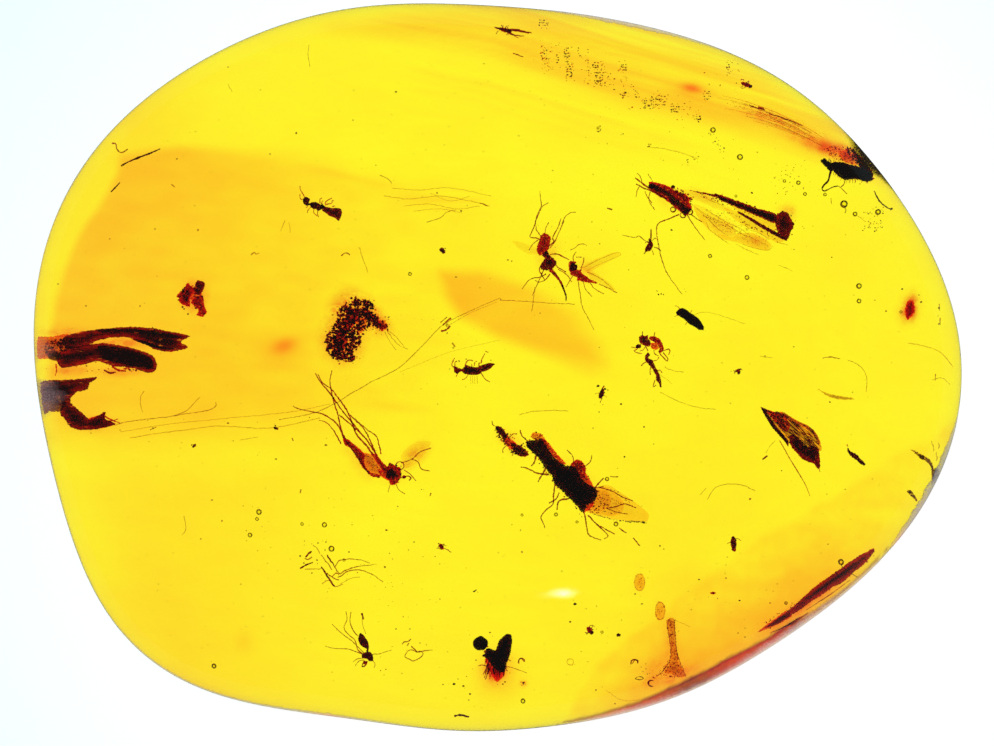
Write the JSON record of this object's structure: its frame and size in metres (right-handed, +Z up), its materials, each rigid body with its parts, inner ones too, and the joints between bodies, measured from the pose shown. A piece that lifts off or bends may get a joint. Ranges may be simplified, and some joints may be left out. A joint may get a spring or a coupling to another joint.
{
  "type": "amber piece",
  "caption": "Polished pebble of clear golden amber with a flat base, sealed insects, plant fragments and fine bubbles, lying flat.",
  "frame": {"origin": "middle of the outline's box on the flat base the piece rests on", "axes": "+Z up out of the flat base through the crowned top, +X along the length of the outline, +Y across its width"},
  "size_m": [0.04, 0.0314, 0.0091],
  "materials": {
    "resin": "clear golden-yellow fossil resin, polished, refractive index 1.54"
  },
  "bodies": {
    "root": {"amber": "resin"}
  },
  "joints": []
}
